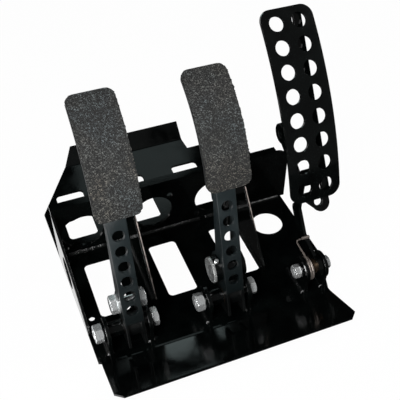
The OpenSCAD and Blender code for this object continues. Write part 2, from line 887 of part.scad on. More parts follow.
// Upper leg of the return spring, which rides on the lever
module throttle_spring_leg() {
  lift = coil_r + 2 * wire_r + 0.2;
  tip = [leg_reach, lift + leg_rise];
  start = [-leg_tail, lift];
  run = tip - start;
  color(steel) translate([spring_x + wire_r, pivot_y + start[0], pivot_z + start[1]])
    rotate([atan2(run[1], run[0]) - 90, 0, 0]) cylinder(r = wire_r, h = norm(run), $fn = 24);
}

base_plate();
riser_plate();
left_side_plate();
clutch_gusset();
brake_gusset();
clutch_bracket();
brake_bracket();
throttle_bracket();
pivot_bolts();
pivot_nuts();
pivot_washers();
pivot_spacers();
throttle_bolt();
throttle_nut();
throttle_washers();
throttle_spring();
clutch_arm();
clutch_bush();
clutch_pad();
clutch_grip();
clutch_clevis_bolt();
clutch_clevis_nut();
brake_arm();
brake_bush();
brake_pad();
brake_grip();
balance_tube();
balance_collar();
balance_lock_bolt();
balance_bar();
throttle_pad();
throttle_rib();
throttle_lever();
throttle_bush();
throttle_tube();
throttle_cable_arm();
throttle_spring_pin();
throttle_spring_leg();
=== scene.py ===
import json
import math

import bmesh
import bpy
import numpy as np
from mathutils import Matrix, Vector


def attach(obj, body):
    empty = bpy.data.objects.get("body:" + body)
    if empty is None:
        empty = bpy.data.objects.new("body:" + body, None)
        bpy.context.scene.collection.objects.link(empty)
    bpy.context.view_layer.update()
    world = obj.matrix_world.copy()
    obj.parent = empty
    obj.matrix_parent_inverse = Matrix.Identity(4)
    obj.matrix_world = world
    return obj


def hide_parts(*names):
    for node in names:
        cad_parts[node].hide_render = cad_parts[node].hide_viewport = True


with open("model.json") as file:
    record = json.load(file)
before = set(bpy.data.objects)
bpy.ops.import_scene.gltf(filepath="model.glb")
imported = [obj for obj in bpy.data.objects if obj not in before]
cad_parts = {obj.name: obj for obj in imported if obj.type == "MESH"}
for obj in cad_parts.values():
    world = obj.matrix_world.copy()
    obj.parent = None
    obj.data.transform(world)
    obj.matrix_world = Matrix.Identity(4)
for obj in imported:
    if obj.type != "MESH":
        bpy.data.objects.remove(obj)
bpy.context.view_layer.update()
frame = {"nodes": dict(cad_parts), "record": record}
nodes = frame["nodes"]
scene = bpy.context.scene
rng = np.random.default_rng(7)

mm = 0.001
pivotLine = dict(y=-128.0, z=29.0)  # the axis of all three pedals, in mm
axisAt = (0.0, pivotLine["y"], pivotLine["z"])
armLean = math.radians(16)


def feed(tree, value, socket):
    # a number or a colour is set on the socket itself, an output is linked to it
    if isinstance(value, tuple):
        socket.default_value = (*value, 1.0)
    elif isinstance(value, float):
        socket.default_value = value
    else:
        tree.links.new(value, socket)


def newGroup(name, inputs, outputs):
    group = bpy.data.node_groups.new(name, "ShaderNodeTree")
    for label, kind, value in inputs:
        socket = group.interface.new_socket(label, in_out="INPUT", socket_type=kind)
        socket.default_value = value
    for label, kind in outputs:
        group.interface.new_socket(label, in_out="OUTPUT", socket_type=kind)
    return group, group.nodes.new("NodeGroupInput"), group.nodes.new("NodeGroupOutput")


def noiseNode(tree, vector, scale, detail=3.0, roughness=0.55):
    noise = tree.nodes.new("ShaderNodeTexNoise")
    for label, value in (("Vector", vector), ("Scale", scale), ("Detail", detail), ("Roughness", roughness)):
        feed(tree, value, noise.inputs[label])
    return noise.outputs["Fac"]


def rangeNode(tree, value, low, high, toLow=0.0, toHigh=1.0):
    node = tree.nodes.new("ShaderNodeMapRange")
    labels = ("Value", "From Min", "From Max", "To Min", "To Max")
    for label, entry in zip(labels, (value, low, high, toLow, toHigh)):
        feed(tree, entry, node.inputs[label])
    return node.outputs[0]


def timesNode(tree, first, second):
    node = tree.nodes.new("ShaderNodeMath")
    node.operation = "MULTIPLY"
    feed(tree, first, node.inputs[0])
    feed(tree, second, node.inputs[1])
    return node.outputs[0]


def vectorNode(tree, operation, vector, constant=None):
    node = tree.nodes.new("ShaderNodeVectorMath")
    node.operation = operation
    feed(tree, vector, node.inputs[0])
    if constant:
        node.inputs[1].default_value = constant
    return node.outputs


mixSockets = {"FLOAT": (2, 3, 0), "RGBA": (6, 7, 2)}  # places of both inputs and of the output


def mixNode(tree, kind, factor, first, second):
    node = tree.nodes.new("ShaderNodeMix")
    node.data_type = kind
    firstAt, secondAt, outAt = mixSockets[kind]
    for place, value in ((0, factor), (firstAt, first), (secondAt, second)):
        feed(tree, value, node.inputs[place])
    return node.outputs[outAt]


def mixColor(tree, factor, first, second):
    return mixNode(tree, "RGBA", factor, first, second)


def placeOf(tree, coords):
    place = tree.nodes.new("ShaderNodeSeparateXYZ")
    feed(tree, coords, place.inputs[0])
    return place.outputs


# powder coat: broad patches of tone and gloss, and fine orange peel
coatSkin = dict(patchScale=38.0, patchDetail=4.0, patchRange=(0.38, 0.66), peelDetail=2.0, bumpDepth=0.0002)
coatGroup, gIn, gOut = newGroup(
    "coatSkin",
    [("Vector", "NodeSocketVector", (0, 0, 0)), ("Dark", "NodeSocketColor", (0, 0, 0, 1)),
     ("Light", "NodeSocketColor", (0, 0, 0, 1)), ("Smooth", "NodeSocketFloat", 0.1),
     ("Rough", "NodeSocketFloat", 0.3), ("Peel", "NodeSocketFloat", 900.0)],
    [("Color", "NodeSocketColor"), ("Roughness", "NodeSocketFloat"), ("Height", "NodeSocketFloat")])
given = gIn.outputs
patches = noiseNode(coatGroup, given["Vector"], coatSkin["patchScale"], coatSkin["patchDetail"])
patchMask = rangeNode(coatGroup, patches, *coatSkin["patchRange"])
feed(coatGroup, mixColor(coatGroup, patchMask, given["Dark"], given["Light"]), gOut.inputs["Color"])
gloss = mixNode(coatGroup, "FLOAT", patchMask, given["Smooth"], given["Rough"])
feed(coatGroup, gloss, gOut.inputs["Roughness"])
peel = noiseNode(coatGroup, given["Vector"], given["Peel"], coatSkin["peelDetail"])
feed(coatGroup, peel, gOut.inputs["Height"])


def startMaterial(name):
    material = bpy.data.materials.new(name)
    material.use_nodes = True
    tree = material.node_tree
    shader = tree.nodes["Principled BSDF"]
    coords = tree.nodes.new("ShaderNodeTexCoord").outputs["Object"]
    return material, tree, shader, coords


def addBump(tree, shader, height, strength, distance):
    bump = tree.nodes.new("ShaderNodeBump")
    bump.inputs["Strength"].default_value = strength
    bump.inputs["Distance"].default_value = distance
    feed(tree, height, bump.inputs["Height"])
    feed(tree, bump.outputs["Normal"], shader.inputs["Normal"])


def paintedShadeFoot(tree, coords, color, s):
    # painted shade, black below the web and darker above it; height along the arm is the dot product with its
    # direction
    along = (0, math.sin(armLean), math.cos(armLean))
    height = vectorNode(tree, "DOT_PRODUCT", coords, along)["Value"]
    start = (pivotLine["y"] * along[1] + pivotLine["z"] * along[2]) * mm + s["foot"]
    footShadeMask = rangeNode(tree, height, start, start + s["footSoft"])
    shadeRise = rangeNode(tree, height, start, start + s["shaded"])
    return mixColor(tree, footShadeMask, s["footShadeColor"], mixColor(tree, shadeRise, s["lowShadeTone"], color))


def paintedEdgeHighlight(tree, coords, color, s):
    # painted highlight along the sloping edge: close to the edge's plane and on one side of the sheet's middle
    height = vectorNode(tree, "DOT_PRODUCT", coords, (0, *s["slope"]))["Value"]
    level = sum(a * b for a, b in zip(s["slope"], s["corner"]))
    place = placeOf(tree, coords)
    highlight = rangeNode(tree, noiseNode(tree, coords, s["highlightBreakScale"]), *s["highlightBreakRange"])
    near = [level + v for v in s["edgeSoft"]]
    side = [s["highlightX"] + v for v in s["sideSoft"]]
    for value, span in ((height, near), (place["X"], side), (place["Z"], s["highlightFoot"])):
        highlight = timesNode(tree, highlight, rangeNode(tree, value, *(v * mm for v in span)))
    return mixColor(tree, highlight, color, s["bare"])


def coatMaterial(name, s):
    material, tree, shader, coords = startMaterial(name)
    group = tree.nodes.new("ShaderNodeGroup")
    group.node_tree = coatGroup
    feed(tree, coords, group.inputs["Vector"])
    for key in ("dark", "light", "smooth", "rough", "peel"):
        feed(tree, s[key], group.inputs[key.capitalize()])
    color = group.outputs["Color"]
    # painted shade on an arm's lower end
    if "foot" in s:
        color = paintedShadeFoot(tree, coords, color, s)
    # painted highlight along a gusset's sloping edge
    elif "highlightX" in s:
        color = paintedEdgeHighlight(tree, coords, color, s)
    feed(tree, color, shader.inputs["Base Color"])
    feed(tree, group.outputs["Roughness"], shader.inputs["Roughness"])
    shader.inputs["Specular IOR Level"].default_value = s["specular"]
    addBump(tree, shader, group.outputs["Height"], s["bump"], coatSkin["bumpDepth"])
    return material


metalSkin = dict(stainDetail=5.0, stainRough=0.6, toneRange=(0.35, 0.7), glossRange=(0.3, 0.75), grainDetail=2.0,
                 bumpDepth=0.0001, rimSoft=0.6)


def boreTone(tree, coords, color, s):
    # darker inside the rim: distance from an axis along X
    centred = tree.nodes.new("ShaderNodeMapping")
    centred.inputs["Location"].default_value = (0, *(-v * mm for v in s["turned"]))
    feed(tree, coords, centred.inputs["Vector"])
    flat = vectorNode(tree, "MULTIPLY", centred.outputs[0], (0, 1, 1))["Vector"]
    reach = vectorNode(tree, "LENGTH", flat)["Value"]
    rim = rangeNode(tree, reach, s["rim"] * mm, (s["rim"] + metalSkin["rimSoft"]) * mm)
    return mixColor(tree, rim, s["bore"], color)


def metalMaterial(name, s):
    material, tree, shader, coords = startMaterial(name)
    stain = noiseNode(tree, coords, s["stainScale"], metalSkin["stainDetail"], metalSkin["stainRough"])
    color = mixColor(tree, rangeNode(tree, stain, *metalSkin["toneRange"]), s["bright"], s["dull"])
    if "turned" in s:
        color = boreTone(tree, coords, color, s)
    feed(tree, color, shader.inputs["Base Color"])
    rough = rangeNode(tree, stain, *metalSkin["glossRange"], s["smooth"], s["rough"])
    feed(tree, rough, shader.inputs["Roughness"])
    shader.inputs["Metallic"].default_value = s["metal"]
    fine = noiseNode(tree, coords, s["grain"], metalSkin["grainDetail"])
    addBump(tree, shader, fine, s["bump"], metalSkin["bumpDepth"])
    return material


blackFinish = dict(dark=(0.0006, 0.0009, 0.0009), light=(0.0015, 0.0022, 0.0021), smooth=0.07, rough=0.16,
                   peel=420.0, bump=0.12, specular=0.5)
# gusset coat with a painted highlight: a bright line along the sloping front edge, broken by noise
highlightedEdgeFinish = dict(blackFinish, slope=(-0.7545, 0.6563), corner=(-92.02, 7.02), bare=(0.62, 0.54, 0.50),
                    edgeSoft=(-0.6, -0.3), sideSoft=(-0.2, 0.1), highlightBreakScale=160.0, highlightBreakRange=(0.36, 0.56, 0.25, 1.0))
sideFinish = dict(blackFinish, smooth=0.05, rough=0.10, bump=0.05, specular=1.0)
weldFinish = dict(blackFinish, smooth=0.05, rough=0.12, peel=330.0, bump=0.6, specular=1.0)
# arm coat with painted shade: black below the web, darker up to the shaded height
armFinish = dict(dark=(0.010, 0.0145, 0.016), light=(0.015, 0.021, 0.0225), smooth=0.28, rough=0.40, peel=1500.0,
                 bump=0.2, specular=0.5, foot=0.009, footSoft=0.0025, footShadeColor=(0.0012, 0.0016, 0.0016),
                 shaded=0.085, lowShadeTone=(0.0022, 0.0040, 0.0043))
padFinish = dict(dark=(0.004, 0.0045, 0.0045), light=(0.008, 0.009, 0.009), smooth=0.5, rough=0.65, peel=1500.0,
                 bump=0.2, specular=0.25)
blackCoat = coatMaterial("blackCoat", blackFinish)
sideCoat = coatMaterial("sideCoat", sideFinish)
weldCoat = coatMaterial("weldCoat", weldFinish)
clutchGussetCoat = coatMaterial("clutchGussetCoat", dict(highlightedEdgeFinish, highlightX=-60.7, highlightFoot=(2.0, 34.0)))
brakeGussetCoat = coatMaterial("brakeGussetCoat", dict(highlightedEdgeFinish, highlightX=67.3, highlightFoot=(36.0, 50.0)))
armCoat = coatMaterial("armCoat", armFinish)
padCoat = coatMaterial("padCoat", padFinish)

zincFinish = dict(bright=(0.94, 0.96, 0.96), dull=(0.86, 0.89, 0.90), stainScale=90.0, smooth=0.13, rough=0.20,
                  grain=1200.0, bump=0.025, metal=0.78)
collarFinish = dict(bright=(0.86, 0.87, 0.86), dull=(0.60, 0.61, 0.61), stainScale=90.0, smooth=0.22, rough=0.38,
                    grain=1800.0, bump=0.08, metal=0.8, turned=(-116.35, 59.34), rim=11.7, bore=(0.42, 0.43, 0.43))
wireFinish = dict(bright=(0.29, 0.250, 0.225), dull=(0.17, 0.148, 0.132), stainScale=300.0, smooth=0.3, rough=0.5,
                  grain=2500.0, bump=0.2, metal=0.7)
bronzeFinish = dict(bright=(0.16, 0.11, 0.07), dull=(0.06, 0.04, 0.03), stainScale=300.0, smooth=0.3, rough=0.5,
                    grain=2500.0, bump=0.2, metal=0.9)
zincPlate = metalMaterial("zincPlate", zincFinish)
bareCollar = metalMaterial("bareCollar", collarFinish)
springWire = metalMaterial("springWire", wireFinish)
bearingBronze = metalMaterial("bearingBronze", bronzeFinish)

grit = dict(grainScale=1300.0, blotchScale=560.0, driftScale=16.0, clumpScale=260.0, speckFrom=0.62,
            dark=(0.0012, 0.0014, 0.0012), light=(0.011, 0.011, 0.0105), warm=(0.165, 0.150, 0.124),
            cool=(0.118, 0.140, 0.146), blotchRough=0.6, blotchRange=(0.3, 0.7), driftRough=0.7, driftRange=(0.38, 0.62),
            clumpDetail=2.0, clumpRange=(0.36, 0.62, 0.25, 1.0), rough=0.75, bump=0.6, bumpDepth=0.0005)


def gritMaterial(s):
    # dark ground with blotches, and single bright grains in clumps, warm in one place and cool in another
    material, tree, shader, coords = startMaterial("gripGrit")
    grains = tree.nodes.new("ShaderNodeTexVoronoi")
    feed(tree, s["grainScale"], grains.inputs["Scale"])
    feed(tree, coords, grains.inputs["Vector"])
    cell = tree.nodes.new("ShaderNodeSeparateColor")
    feed(tree, grains.outputs["Color"], cell.inputs[0])
    speck = rangeNode(tree, cell.outputs[0], s["speckFrom"], 1.0)
    blotch = noiseNode(tree, coords, s["blotchScale"], roughness=s["blotchRough"])
    ground = mixColor(tree, rangeNode(tree, blotch, *s["blotchRange"]), s["dark"], s["light"])
    drift = noiseNode(tree, coords, s["driftScale"], roughness=s["driftRough"])
    grainTone = mixColor(tree, rangeNode(tree, drift, *s["driftRange"]), s["warm"], s["cool"])
    clump = rangeNode(tree, noiseNode(tree, coords, s["clumpScale"], s["clumpDetail"]), *s["clumpRange"])
    speckle = timesNode(tree, speck, clump)
    feed(tree, mixColor(tree, speckle, ground, grainTone), shader.inputs["Base Color"])
    shader.inputs["Roughness"].default_value = s["rough"]
    addBump(tree, shader, grains.outputs["Distance"], s["bump"], s["bumpDepth"])
    return material


gripGrit = gritMaterial(grit)
print("materials made")

finishes = dict(
    base_plate=blackCoat, riser_plate=blackCoat, left_side_plate=sideCoat, clutch_gusset=clutchGussetCoat,
    brake_gusset=brakeGussetCoat, clutch_bracket=blackCoat, brake_bracket=blackCoat, throttle_bracket=blackCoat,
    pivot_bolts=zincPlate, pivot_nuts=zincPlate, pivot_washers=blackCoat, pivot_spacers=blackCoat,
    throttle_bolt=zincPlate, throttle_nut=zincPlate, throttle_washers=blackCoat, throttle_spring=springWire,
    clutch_arm=armCoat, clutch_bush=bearingBronze, clutch_pad=padCoat, clutch_grip=gripGrit,
    clutch_clevis_bolt=zincPlate, clutch_clevis_nut=zincPlate, brake_arm=armCoat, brake_bush=bearingBronze,
    brake_pad=padCoat, brake_grip=gripGrit, balance_tube=blackCoat, balance_collar=bareCollar,
    balance_lock_bolt=zincPlate, balance_bar=bareCollar, throttle_pad=blackCoat, throttle_rib=blackCoat,
    throttle_lever=blackCoat, throttle_bush=bearingBronze, throttle_tube=blackCoat, throttle_cable_arm=blackCoat,
    throttle_spring_pin=springWire, throttle_spring_leg=springWire)
for node, material in finishes.items():
    mesh = nodes[node].data
    mesh.materials.clear()
    mesh.materials.append(material)


def bodyOf(node):
    return next(b for b, members in frame["record"]["behaviour"]["bodies"].items() if node in members)


def readPoints(mesh):
    points = np.empty(len(mesh.vertices) * 3)
    mesh.vertices.foreach_get("co", points)
    return points.reshape(-1, 3)


def smoothShade(mesh, material, angle):
    mesh.materials.clear()
    mesh.materials.append(material)
    mesh.shade_smooth()
    mesh.set_sharp_from_angle(angle=math.radians(angle))


padCurve = dict(low=(20.19, 127.0), tilt=math.radians(39), length=117.0, radius=125.0)
padSag = padCurve["radius"] - math.sqrt(padCurve["radius"] ** 2 - padCurve["length"] ** 2 / 4)


def padFrame(y, z):
    # place of a point beside the pad: along its chord from the low end, and out of it towards the driver
    y, z = y - pivotLine["y"] - padCurve["low"][0], z - pivotLine["z"] - padCurve["low"][1]
    sine, cosine = math.sin(padCurve["tilt"]), math.cos(padCurve["tilt"])
    return y * sine + z * cosine, z * sine - y * cosine


fold = dict(radius=2.4, segments=4, front=15.0, onPlane=0.2, sideways=0.05, shortest=4.0)


def markFolds(mesh):
    # bevel weight 1 on an arm's long front corners: both ends on the front plane, the edge running up the arm
    points = readPoints(mesh) / mm
    ends = np.empty(len(mesh.edges) * 2, int)
    mesh.edges.foreach_get("vertices", ends)
    ends = ends.reshape(-1, 2)
    y, z = points[:, 1] - pivotLine["y"], points[:, 2] - pivotLine["z"]
    ahead = z * math.sin(armLean) - y * math.cos(armLean)
    onFront = np.abs(ahead - fold["front"]) < fold["onPlane"]
    run = points[ends[:, 1]] - points[ends[:, 0]]
    straight = (np.abs(run[:, 0]) < fold["sideways"]) & (np.linalg.norm(run, axis=1) > fold["shortest"])
    weights = (onFront[ends].all(1) & straight).astype(float)
    mesh.attributes.new("bevel_weight_edge", "FLOAT", "EDGE").data.foreach_set("value", weights)
    return int(weights.sum())


seat = dict(oldRadius=244.8, oldMid=57.5, oldDrop=243.3, slide=3.4, lift=1.5, back=5.2, depth=12.0, reach=58.0,
            start=2.0, blend=6.0)


def raiseSeat(mesh):
    # the strip behind the pad is moved out to the pad's curve: the gap between both arcs, less towards its rear
    points = readPoints(mesh)
    up, out = padFrame(points[:, 1] / mm, points[:, 2] / mm)
    fromMid = np.clip(up - padCurve["length"] / 2, -seat["reach"], seat["reach"])
    fromOldMid = up - seat["slide"] - seat["oldMid"]
    newBack = np.sqrt((padCurve["radius"] - seat["back"]) ** 2 - fromMid ** 2) - padCurve["radius"] + padSag
    oldBack = np.sqrt(seat["oldRadius"] ** 2 - fromOldMid ** 2) - seat["oldDrop"] - seat["lift"]
    nearFace = np.clip((out - oldBack + seat["depth"]) / seat["depth"], 0, 1)
    move = (newBack - oldBack) * nearFace * np.clip((up - seat["start"]) / seat["blend"], 0, 1) * mm
    points[:, 1] -= move * math.cos(padCurve["tilt"])
    points[:, 2] += move * math.sin(padCurve["tilt"])
    mesh.vertices.foreach_set("co", points.ravel())


riserEnds = dict(past=120.0, right=5.0, left=-3.9)
deckEdge = dict(front=-143.0, rear=82.0, widen=-6.0)


def edgeShift(y):
    # how far the deck's left edge stands out at y: it widens evenly from the heel fold to the rear
    return deckEdge["widen"] * (y - deckEdge["front"]) / (deckEdge["rear"] - deckEdge["front"])


def shiftEnds(node, mesh):
    # the riser reaches a little further at both ends, and the side plate stands flush on the deck's edge
    points = readPoints(mesh)
    x, y = points[:, 0] / mm, points[:, 1] / mm
    if node == "riser_plate":
        move = (x > riserEnds["past"]) * riserEnds["right"] + (x < -riserEnds["past"]) * riserEnds["left"]
    else:
        move = edgeShift(y)
    points[:, 0] += move * mm
    mesh.vertices.foreach_set("co", points.ravel())


easing = dict(merge=2e-6, flat=math.radians(0.4), sharp=25, segments=2, corner=math.radians(35))


def addBevel(piece, name, width, segments, method):
    bevel = piece.modifiers.new(name, "BEVEL")
    bevel.width = width * mm
    bevel.segments = segments
    bevel.limit_method = method
    bevel.harden_normals = True
    return bevel


def edgedCopy(node, width):
    # a copy of the node with its corners eased, in place of the sharp solid
    mesh = nodes[node].data.copy()
    mesh.name = node + "Edged"
    bm = bmesh.new()
    bm.from_mesh(mesh)
    bmesh.ops.remove_doubles(bm, verts=bm.verts, dist=easing["merge"])
    bmesh.ops.dissolve_limit(bm, angle_limit=easing["flat"], verts=bm.verts, edges=bm.edges)
    bm.to_mesh(mesh)
    bm.free()
    piece = bpy.data.objects.new(node + "Edged", mesh)
    scene.collection.objects.link(piece)
    smoothShade(mesh, finishes[node], easing["sharp"])
    if node in ("clutch_arm", "brake_arm"):
        print(node, "folds:", markFolds(mesh))
        raiseSeat(mesh)
        addBevel(piece, "foldedCorners", fold["radius"], fold["segments"], "WEIGHT")
    if node in ("riser_plate", "left_side_plate"):
        shiftEnds(node, mesh)
    addBevel(piece, "easedCorners", width, easing["segments"], "ANGLE").angle_limit = easing["corner"]
    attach(piece, bodyOf(node))
    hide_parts(node)


sheetEdges = dict(base_plate=0.5, riser_plate=0.5, left_side_plate=0.4, clutch_gusset=0.4, brake_gusset=0.4,
                  clutch_bracket=0.5, brake_bracket=0.5, throttle_bracket=0.5, clutch_arm=0.5, brake_arm=0.5,
                  throttle_pad=0.6, throttle_rib=0.5, throttle_lever=0.4, throttle_cable_arm=0.5, balance_tube=0.5)
for node, width in sheetEdges.items():
    edgedCopy(node, width)
print("sheet pieces edged:", len(sheetEdges))


samePoint = 1e-7  # points of joined grids that lie closer are one


def meshPiece(name, parts, material, body, replaced=(), angle=30):
    # parts: (points, quads) pairs joined into one mesh
    points = np.concatenate([p for p, q in parts])
    starts = np.cumsum([0] + [len(p) for p, q in parts[:-1]])
    quads = np.concatenate([q + k for (p, q), k in zip(parts, starts)])
    mesh = bpy.data.meshes.new(name)
    mesh.from_pydata(points, [], quads)
    bm = bmesh.new()
    bm.from_mesh(mesh)
    bmesh.ops.remove_doubles(bm, verts=bm.verts, dist=samePoint)
    bmesh.ops.recalc_face_normals(bm, faces=bm.faces)
    bm.to_mesh(mesh)
    bm.free()
    smoothShade(mesh, material, angle)
    piece = bpy.data.objects.new(name, mesh)
    scene.collection.objects.link(piece)
    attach(piece, body)
    if replaced:
        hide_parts(*replaced)


def nodePiece(name, parts, node, angle=30):
    # a finer piece in place of a node, with the node's finish and body
    meshPiece(name, parts, finishes[node], bodyOf(node), [node], angle)


def gridQuads(rows, columns, closed):
    # quads of a grid whose columns close on themselves where asked
    width = columns if closed else columns - 1
    r, c = np.meshgrid(np.arange(rows - 1), np.arange(width), indexing="ij")
    after = (c + 1) % columns
    corners = [r * columns + c, r * columns + after, (r + 1) * columns + after, (r + 1) * columns + c]
    return np.stack(corners, -1).reshape(-1, 4)


def hexTurned(profile, flats, centre, lean=0.0, steps=120):
    # a turned profile of (x, radius), cut down to a hexagon: r = min(profile, flat / cos(angle to the flat))
    profile = np.array(profile, float)
    turn = np.linspace(0, 2 * np.pi, steps, endpoint=False)
    side = (turn + lean) % (np.pi / 3) - np.pi / 6
    limit = flats / np.cos(side) if flats else np.full(steps, np.inf)
    radius = np.minimum(profile[:, 1:2], limit[None, :])
    points = np.stack([np.repeat(profile[:, :1], steps, 1), radius * np.cos(turn), radius * np.sin(turn)], -1)
    return (points.reshape(-1, 3) + np.array(centre)) * mm, gridQuads(len(profile), steps, True)


hexEnds = dict(inner=0.96, chamfer=math.radians(30), steps=7)


def chamfered(x0, x1, flats, faceRadius=0.0):
    # head or nut from x0 to x1 with 30 degree chamfers at both ends
    corner = flats / math.cos(math.pi / 6)
    inner = flats * hexEnds["inner"]
    depth = (corner - inner) * math.tan(hexEnds["chamfer"])
    way = np.linspace(0, 1, hexEnds["steps"])
    start = [(x0, faceRadius)] + [(x0 + depth * w, inner + (corner - inner) * w) for w in way]
    end = [(x1 - depth * (1 - w), corner - (corner - inner) * w) for w in way] + [(x1, faceRadius)]
    return start + end


thread = dict(pitch=1.5, depth=0.7, lead=1.0, leadDrop=1.2)


def threaded(x0, x1, radius):
    # end of a bolt: a lead chamfer and rings of thread as a saw wave
    way = math.copysign(1.0, x1 - x0)
    turns = x0 + way * np.arange(thread["lead"], abs(x1 - x0), thread["pitch"] / 4)
    wave = np.abs((np.abs(turns - x0) / thread["pitch"]) % 1.0 - 0.5) * 2
    rings = [(t, radius - thread["depth"] * w) for t, w in zip(turns, wave)]
    return [(x0, 0.0), (x0, radius - thread["leadDrop"])] + rings + [(x1, radius)]


largeHex = dict(flats=8.45, boltR=4.98, nut=9.0, head=7.0)
smallHex = dict(flats=6.55, boltR=3.98, nut=7.0, head=5.5)
boltForm = dict(threadPast=12, bite=0.2, face=0.94, faceTall=0.5, dish=0.15)
pivots = dict(
    clutch=dict(form=largeHex, nut=-136.64, head=-77.36, end=-137.4, leanNut=0.2, leanHead=0.35),
    brake=dict(form=largeHex, nut=-29.64, head=29.64, end=-30.4, leanNut=0.55, leanHead=0.1),
    throttle=dict(form=smallHex, nut=83.36, head=119.64, end=82.6, leanNut=0.4, leanHead=0.25))


def pivotSet(p):
    # bolt with its shank and dished head, and a plain chamfered nut at the lower x end
    f, nut, head = p["form"], p["nut"], p["head"]
    flats, boltR, root = f["flats"], f["boltR"], head + boltForm["bite"]
    shank = threaded(p["end"], nut + boltForm["threadPast"], boltR) + [(root, boltR), (root, 0.0)]
    face, crown = flats * boltForm["face"], head + boltForm["faceTall"]
    top = chamfered(crown, head + f["head"], flats)
    top[-1] = (head + f["head"] - boltForm["dish"], 0.0)
    headLoop = [(head, 0.0), (head, face), (crown, face)] + top[1:]
    nutLoop = chamfered(nut, nut + f["nut"], flats, faceRadius=boltR)
    bolt = [hexTurned(shank, 0, axisAt), hexTurned(headLoop, flats, axisAt, p["leanHead"])]
    return bolt, [hexTurned(nutLoop, flats, axisAt, p["leanNut"])]


clutchSet, brakeSet, throttleSet = (pivotSet(p) for p in pivots.values())
nodePiece("pivotBolts", clutchSet[0] + brakeSet[0], "pivot_bolts")
nodePiece("pivotNuts", clutchSet[1] + brakeSet[1], "pivot_nuts")
nodePiece("throttleBolt", throttleSet[0], "throttle_bolt")
nodePiece("throttleNut", throttleSet[1], "throttle_nut")

clevis = dict(along=27.0, lean=math.radians(21), head=-115.37, washer=-108.37, face=-106.77, nut=-87.23, end=-78.25,
              bite=0.1, tipR=3.6, nutTall=8.0, nutBore=5.0, leanHead=0.3, leanNut=0.5,
              washerLoop=((0.0, 0.0), (0.0, 9.7), (0.2, 9.9), (1.4, 9.9), (1.6, 9.7), (1.6, 0.0)))
clevisAt = (0.0, pivotLine["y"] + clevis["along"] * math.sin(clevis["lean"]),
            pivotLine["z"] + clevis["along"] * math.cos(clevis["lean"]))
flats, boltR = largeHex["flats"], largeHex["boltR"]
clevisHead = chamfered(clevis["head"], clevis["washer"], flats)
clevisWasher = [(clevis["washer"] + step, radius) for step, radius in clevis["washerLoop"]]
root = clevis["face"] - clevis["bite"]
clevisShank = [(root, 0.0), (root, boltR), (clevis["nut"], boltR)]
clevisShank += threaded(clevis["end"], clevis["nut"], boltR)[:1:-1]  # drawn from the tip, so turned round
clevisShank += [(clevis["end"], clevis["tipR"]), (clevis["end"], 0.0)]
clevisParts = [hexTurned(clevisHead, flats, clevisAt, clevis["leanHead"]), hexTurned(clevisWasher, 0, clevisAt),
               hexTurned(clevisShank, 0, clevisAt)]
clevisNut = chamfered(clevis["nut"], clevis["nut"] + clevis["nutTall"], flats, faceRadius=clevis["nutBore"])
nodePiece("clevisBolt", clevisParts, "clutch_clevis_bolt")
nodePiece("clevisNut", [hexTurned(clevisNut, flats, clevisAt, clevis["leanNut"])], "clutch_clevis_nut")

# collar: a flat ring with eased rims, and a short liner that seats in the tube
ring = dict(at=(0.0, -116.35, 59.34), front=-9.02, wide=3.0, outer=13.5, bore=11.4, liner=4.6, linerR=11.48,
            frontEase=0.5, rearEase=0.4)
front, outer, bore = ring["front"], ring["outer"], ring["bore"]
rear = front + ring["wide"]
linerEnd = rear + ring["liner"]
ringLoop = [(front, bore), (front, outer - ring["frontEase"]), (front + ring["frontEase"], outer),
            (rear - ring["rearEase"], outer), (rear, outer - ring["rearEase"]), (rear, ring["linerR"]),
            (linerEnd, ring["linerR"]), (linerEnd, bore), (front, bore)]
nodePiece("balanceCollar", [hexTurned(ringLoop, 0, ring["at"])], "balance_collar")
print("fasteners made")


def wireTube(path, radius, around=14):
    # round wire along a path: offsets by the path's own normal and binormal, ends drawn to a point
    tangent = np.gradient(path, axis=0)
    tangent /= np.linalg.norm(tangent, axis=1, keepdims=True)
    side = np.cross(tangent, [1.0, 0.17, 0.05])  # a direction that no stretch of the springs runs along
    side /= np.linalg.norm(side, axis=1, keepdims=True)
    up = np.cross(tangent, side)
    turn = np.linspace(0, 2 * np.pi, around, endpoint=False)[None, :, None]
    rings = path[:, None] + radius * (np.cos(turn) * side[:, None] + np.sin(turn) * up[:, None])
    first, last = np.repeat(path[:1, None], around, 1), np.repeat(path[-1:, None], around, 1)
    rings = np.concatenate([first, rings, last])
    return rings.reshape(-1, 3) * mm, gridQuads(len(rings), around, True)


# the coil is a helix about the pivot; the upper leg's tip bends sideways into the lever
spring = dict(coilR=12.0, wire=1.4, x0=101.9, x1=97.7, turns=1.5, steps=110, footFrom=20.0, footTo=1.5, footSteps=8,
              legWire=1.0,
              leg=((97.7, -2.0, 14.6), (97.7, 4.0, 15.3), (97.7, 10.0, 16.2), (97.7, 17.0, 16.8), (97.7, 23.0, 17.4),
                   (98.8, 24.8, 18.4), (100.6, 25.2, 18.8), (103.1, 25.2, 18.8)))
turn = -np.pi / 2 - np.linspace(0, 2 * np.pi * spring["turns"], spring["steps"])
coil = np.stack([np.linspace(spring["x0"], spring["x1"], spring["steps"]), spring["coilR"] * np.cos(turn),
                 spring["coilR"] * np.sin(turn)], -1)
footY = np.linspace(spring["footFrom"], spring["footTo"], spring["footSteps"])
foot = np.stack([np.full_like(footY, spring["x0"]), footY, np.full_like(footY, -spring["coilR"])], -1)
coilPath = np.concatenate([foot, coil]) + np.array(axisAt)
legPath = np.array(spring["leg"]) + np.array(axisAt)
nodePiece("springCoil", [wireTube(coilPath, spring["wire"])], "throttle_spring")
nodePiece("springLeg", [wireTube(legPath, spring["legWire"])], "throttle_spring_leg")
print("spring made")


def smoothNoise(shape, reach):
    # seeded noise, softened by running means over reach cells both ways
    field = rng.standard_normal(shape)
    kernel = np.ones(reach) / reach
    for axis in (0, 1):
        field = np.apply_along_axis(lambda line: np.convolve(line, kernel, "same"), axis, field)
    return field / field.std()


